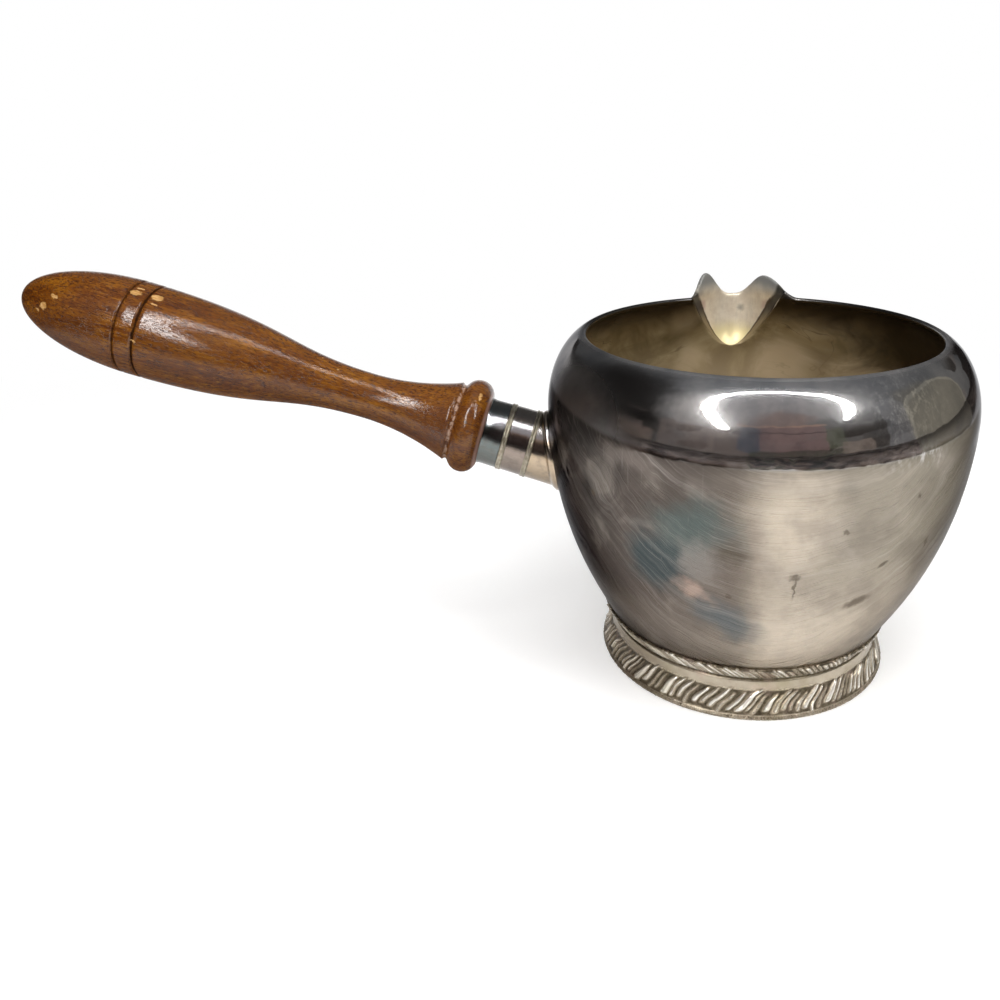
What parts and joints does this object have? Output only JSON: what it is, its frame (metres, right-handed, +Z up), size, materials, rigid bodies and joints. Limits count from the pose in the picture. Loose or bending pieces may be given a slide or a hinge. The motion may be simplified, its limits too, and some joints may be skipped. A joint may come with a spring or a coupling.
{
  "type": "brandy warmer",
  "caption": "Small footed saucepan for warming brandy: tarnished silver-plated bowl with a turned-in shoulder, pouring lip, feathered ring foot and a turned wooden handle.",
  "frame": {"origin": "bottom centre of the whole object's box, on the surface that the foot stands on", "axes": "+Z up, handle along -X and rising, pouring lip along +Y"},
  "size_m": [0.213, 0.0964, 0.0922],
  "materials": {
    "tarnished_silver": "silver plate, softly tarnished grey-brown with blue-green patches and fine polishing scratches, mirror-like on the shoulder",
    "bright_silver": "silver plate, brighter and warmer, with worn edges",
    "foot_silver": "silver plate with bright crests and dark tarnish in the chased hollows",
    "boss_brass": "plain turned brass",
    "stud_steel": "plain threaded steel",
    "varnished_wood": "glossy varnished walnut or mahogany with short dark pores and small chips"
  },
  "bodies": {
    "root": {"bowl": "tarnished_silver", "pouring_lip": "bright_silver", "foot_ring": "foot_silver", "socket_wall_plate": "bright_silver", "handle_socket": "bright_silver", "socket_ring_front": "bright_silver", "socket_ring_rear": "bright_silver", "socket_boss": "boss_brass", "tang_stud": "stud_steel", "handle_ferrule": "bright_silver", "wood_handle": "varnished_wood"}
  },
  "joints": []
}
